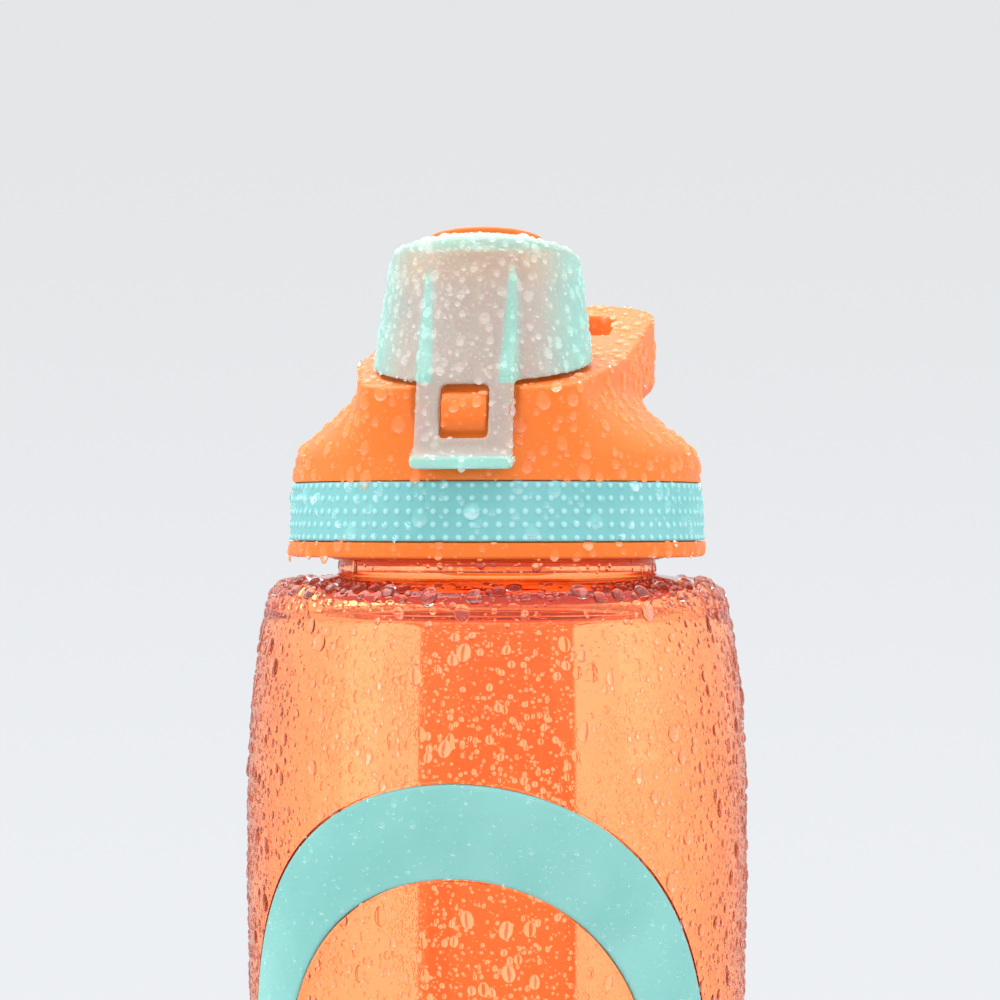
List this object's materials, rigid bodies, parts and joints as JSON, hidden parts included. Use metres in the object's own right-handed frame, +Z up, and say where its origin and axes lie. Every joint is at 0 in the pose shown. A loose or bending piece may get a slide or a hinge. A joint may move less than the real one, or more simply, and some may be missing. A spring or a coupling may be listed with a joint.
{
  "type": "sports water bottle",
  "caption": "Clear orange drinking bottle with a soft mint grip ring, an orange screw lid with a dotted band and a carry loop, and a frosted flip cap held shut by a hasp.",
  "frame": {"origin": "centre of the bottle's base, on the surface it stands on", "axes": "+Z up the bottle, -Y to the front where the grip ring, hasp and catch are, +Y to the carry loop, +X to the right seen from the front"},
  "size_m": [0.08, 0.0809, 0.2132],
  "materials": {
    "clear_orange": "clear tinted hard plastic, glossy, beaded with water",
    "satin_orange": "satin moulded plastic",
    "soft_mint": "soft matte moulded rubber",
    "frosted_mint": "translucent frosted plastic",
    "clear_silicone": "matte translucent silicone",
    "pin_steel": "plain drawn steel"
  },
  "bodies": {
    "bottle": {"bottle_body": "clear_orange", "grip_ring": "soft_mint"},
    "lid_seal": {"mouth_gasket": "clear_silicone"},
    "lid": {"lid_shell": "satin_orange", "lid_liner": "satin_orange", "lid_band": "soft_mint", "hinge_pin": "pin_steel"},
    "cap": {"cap_shell": "frosted_mint", "spout_plug": "satin_orange", "plug_seal": "clear_silicone"}
  },
  "joints": [
    {"name": "lid_rise", "type": "slide", "parent": "bottle", "child": "lid_seal", "axis": [0, 0, 1], "range_m": [0, 0.0081]},
    {"name": "lid_turn", "type": "hinge", "parent": "lid_seal", "child": "lid", "pos_m": [0, 0, 0.1622], "axis": [0, 0, 1], "range_deg": [0, 720]},
    {"name": "cap_hinge", "type": "hinge", "parent": "lid", "child": "cap", "pos_m": [0, 0.0075, 0.2], "axis": [-1, 0, 0], "range_deg": [0, 105]}
  ],
  "couplings": [
    {"joint": "lid_rise", "follows": "lid_turn", "m_per_rad": 0.00063662}
  ]
}
